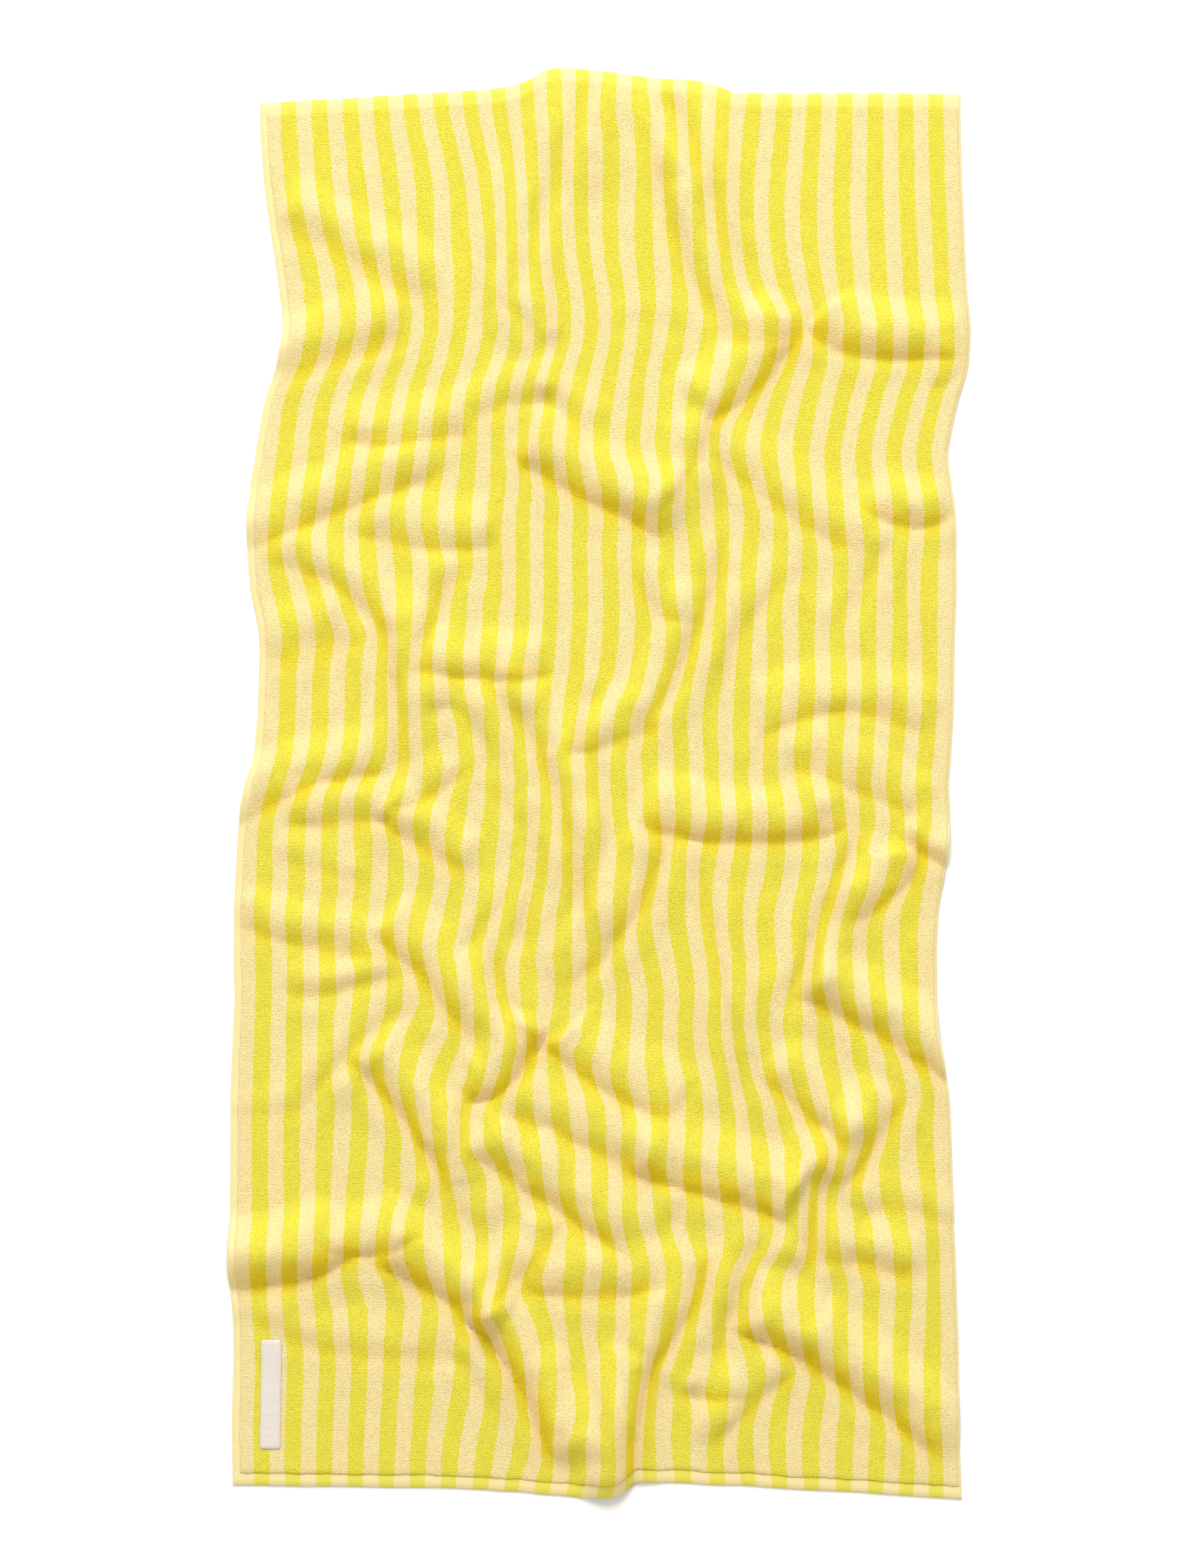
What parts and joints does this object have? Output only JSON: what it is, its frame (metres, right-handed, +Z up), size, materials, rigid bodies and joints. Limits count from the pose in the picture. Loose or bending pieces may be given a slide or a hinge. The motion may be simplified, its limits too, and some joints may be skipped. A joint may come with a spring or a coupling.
{
  "type": "bath towel, laid out",
  "caption": "Striped terry bath towel laid out full length with its pile up, lightly crumpled, with flat hems and a bare sewn-on label.",
  "frame": {"origin": "middle of the towel's bounding box at the surface that it lies on", "axes": "+X across the towel, +Y along its length towards the end with the wide tent fold, +Z up"},
  "size_m": [0.6786, 1.3124, 0.0304],
  "materials": {
    "terry": "cotton terry loops in lengthwise yellow and cream stripes, matt, with flat woven hems and side edges",
    "label_weave": "off-white close weave, padded, stitched all round, bare"
  },
  "bodies": {
    "root": {"towel": "terry", "label": "label_weave"}
  },
  "joints": []
}
